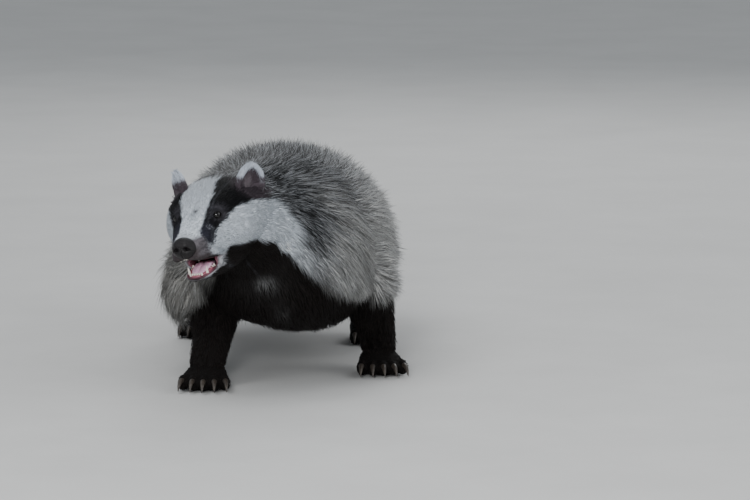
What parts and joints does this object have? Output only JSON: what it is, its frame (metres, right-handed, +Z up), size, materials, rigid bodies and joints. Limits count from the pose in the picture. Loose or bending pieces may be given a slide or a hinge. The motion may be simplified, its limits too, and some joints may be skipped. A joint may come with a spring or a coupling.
{
  "type": "european badger",
  "caption": "Life-size standing badger with a turned head and open mouth, a still museum model on four flat soles.",
  "frame": {"origin": "middle of the bounding box in X and Y, on the floor under the soles", "axes": "+Z up, -Y the way the animal faces, +X its left side"},
  "size_m": [0.2774, 0.777, 0.2605],
  "materials": {
    "gray_coat": "long bristly hair, grizzled silver gray",
    "face_fur": "short white fur with black stripes through the eyes",
    "leg_fur": "short black fur, with gray brown horn claws",
    "ear_fur": "short dark fur with a white rim",
    "nose_skin": "moist pebbled black skin",
    "eye": "glossy black",
    "tongue": "wet pink"
  },
  "bodies": {
    "root": {"head": "face_fur", "lower_jaw": "face_fur", "neck": "gray_coat", "torso": "gray_coat", "tail": "gray_coat", "foreleg_right": "leg_fur", "foreleg_left": "leg_fur", "hindleg_right": "leg_fur", "hindleg_left": "leg_fur", "forepaw_right": "leg_fur", "forepaw_left": "leg_fur", "hindpaw_right": "leg_fur", "hindpaw_left": "leg_fur", "ear_right": "ear_fur", "ear_left": "ear_fur", "nose_pad": "nose_skin", "eye_right": "eye", "eye_left": "eye", "tongue": "tongue"}
  },
  "joints": []
}
